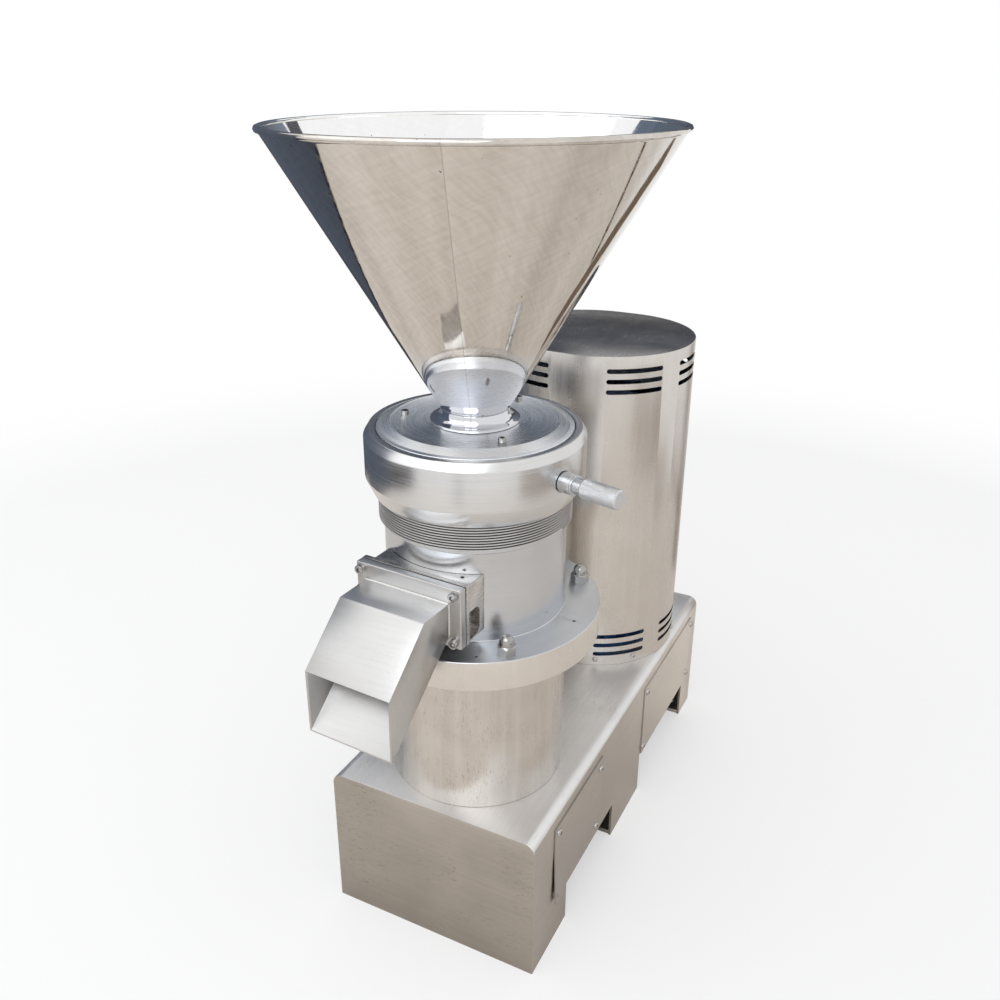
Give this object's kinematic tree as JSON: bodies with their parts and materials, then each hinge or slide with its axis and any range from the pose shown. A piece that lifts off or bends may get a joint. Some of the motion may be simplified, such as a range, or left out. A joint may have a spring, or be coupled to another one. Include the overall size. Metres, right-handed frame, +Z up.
{
  "type": "split colloid mill for nut butter",
  "caption": "Belt-driven vertical nut grinder in stainless steel with a cone hopper, a threaded setting ring, a side spout and a motor under a slotted cover.",
  "frame": {"origin": "middle of the bounding box in plan, on the floor", "axes": "+Z up along the mill's axis, -Y towards the outlet spout, +Y towards the motor, +X to the right seen from the spout"},
  "size_m": [0.4172, 0.756, 0.9384],
  "materials": {
    "brushed_sheet": "brushed stainless sheet with a fine grain",
    "turned_steel": "lathe-turned stainless steel with fine rings",
    "polished_steel": "mirror-polished stainless steel",
    "fastener": "bright plain steel",
    "machined_iron": "machined iron, oiled",
    "motor_paint": "semi-gloss paint",
    "rubber": "matt rubber",
    "black_plastic": "moulded plastic",
    "brass": "plain brass"
  },
  "bodies": {
    "frame": {"base_housing": "brushed_sheet", "mounting_plate": "machined_iron", "access_panel_right_front": "brushed_sheet", "access_panel_right_rear": "brushed_sheet", "access_panel_left_front": "brushed_sheet", "access_panel_left_rear": "brushed_sheet", "bearing_column": "turned_steel", "column_bolt_1": "fastener", "column_bolt_2": "fastener", "column_bolt_3": "fastener", "column_bolt_4": "fastener", "grinding_barrel": "turned_steel", "outlet_block": "turned_steel", "outlet_gasket": "rubber", "outlet_spout": "brushed_sheet", "outlet_screw_1": "fastener", "outlet_screw_2": "fastener", "outlet_screw_3": "fastener", "outlet_screw_4": "fastener", "cap_nut_1": "fastener", "cap_nut_2": "fastener", "cap_nut_3": "fastener", "cap_nut_4": "fastener", "upper_bearing": "fastener", "lower_bearing": "fastener", "oil_seal": "rubber", "mechanical_seal": "machined_iron", "motor_flange": "motor_paint", "motor_bolt_1": "fastener", "motor_bolt_2": "fastener", "motor_bolt_3": "fastener", "motor_bolt_4": "fastener", "motor_body": "motor_paint", "motor_end_shield": "motor_paint", "terminal_box": "motor_paint", "fan_cowl": "motor_paint", "motor_cover": "brushed_sheet", "v_belt_1": "rubber", "v_belt_2": "rubber", "cable_gland": "black_plastic"},
    "motor_rotor": {"motor_shaft": "fastener", "motor_pulley": "machined_iron", "cooling_fan": "black_plastic"},
    "mill_rotor": {"mill_shaft": "fastener", "mill_pulley": "machined_iron", "discharge_impeller": "turned_steel", "grinding_rotor": "turned_steel", "feed_impeller": "turned_steel"},
    "stator_carrier": {"stator_cover": "turned_steel", "retaining_ring": "turned_steel", "grinding_stator": "turned_steel", "stator_screw_1": "fastener", "stator_screw_2": "fastener", "stator_screw_3": "fastener"},
    "adjusting_ring": {"adjusting_ring": "turned_steel"},
    "lock_pad": {"lock_pad": "brass"},
    "lock_handle": {"lock_stud": "polished_steel", "lock_grip": "fastener"},
    "hopper": {"hopper_neck": "polished_steel", "hopper_cone": "polished_steel"}
  },
  "joints": [
    {"name": "motor_spin", "type": "hinge", "parent": "frame", "child": "motor_rotor", "pos_m": [0, 0.21496, 0.3], "axis": [0, 0, 1], "continuous": true},
    {"name": "mill_spin", "type": "hinge", "parent": "frame", "child": "mill_rotor", "pos_m": [0, -0.14004, 0.3], "axis": [0, 0, 1], "continuous": true},
    {"name": "stator_lift", "type": "slide", "parent": "frame", "child": "stator_carrier", "axis": [0, 0, 1], "range_m": [-0.0008, 0.0023]},
    {"name": "ring_turn", "type": "hinge", "parent": "stator_carrier", "child": "adjusting_ring", "pos_m": [0, -0.14004, 0.5975], "axis": [0, 0, 1], "range_deg": [-90, 270]},
    {"name": "lock_pad_press", "type": "slide", "parent": "adjusting_ring", "child": "lock_pad", "axis": [0.969, -0.247, 0], "range_m": [0, 0.00175]},
    {"name": "lock_handle_turn", "type": "hinge", "parent": "lock_pad", "child": "lock_handle", "pos_m": [0.10514, -0.16684, 0.5975], "axis": [0.969, -0.247, 0], "range_deg": [0, 360]},
    {"name": "hopper_lift", "type": "slide", "parent": "stator_carrier", "child": "hopper", "axis": [0, 0, 1], "range_m": [0, 0.1]}
  ],
  "couplings": [
    {"joint": "mill_spin", "follows": "motor_spin", "ratio": 1.135},
    {"joint": "stator_lift", "follows": "ring_turn", "m_per_rad": 0.00047746},
    {"joint": "lock_handle_turn", "follows": "lock_pad_press", "rad_per_m": 3590.4}
  ]
}
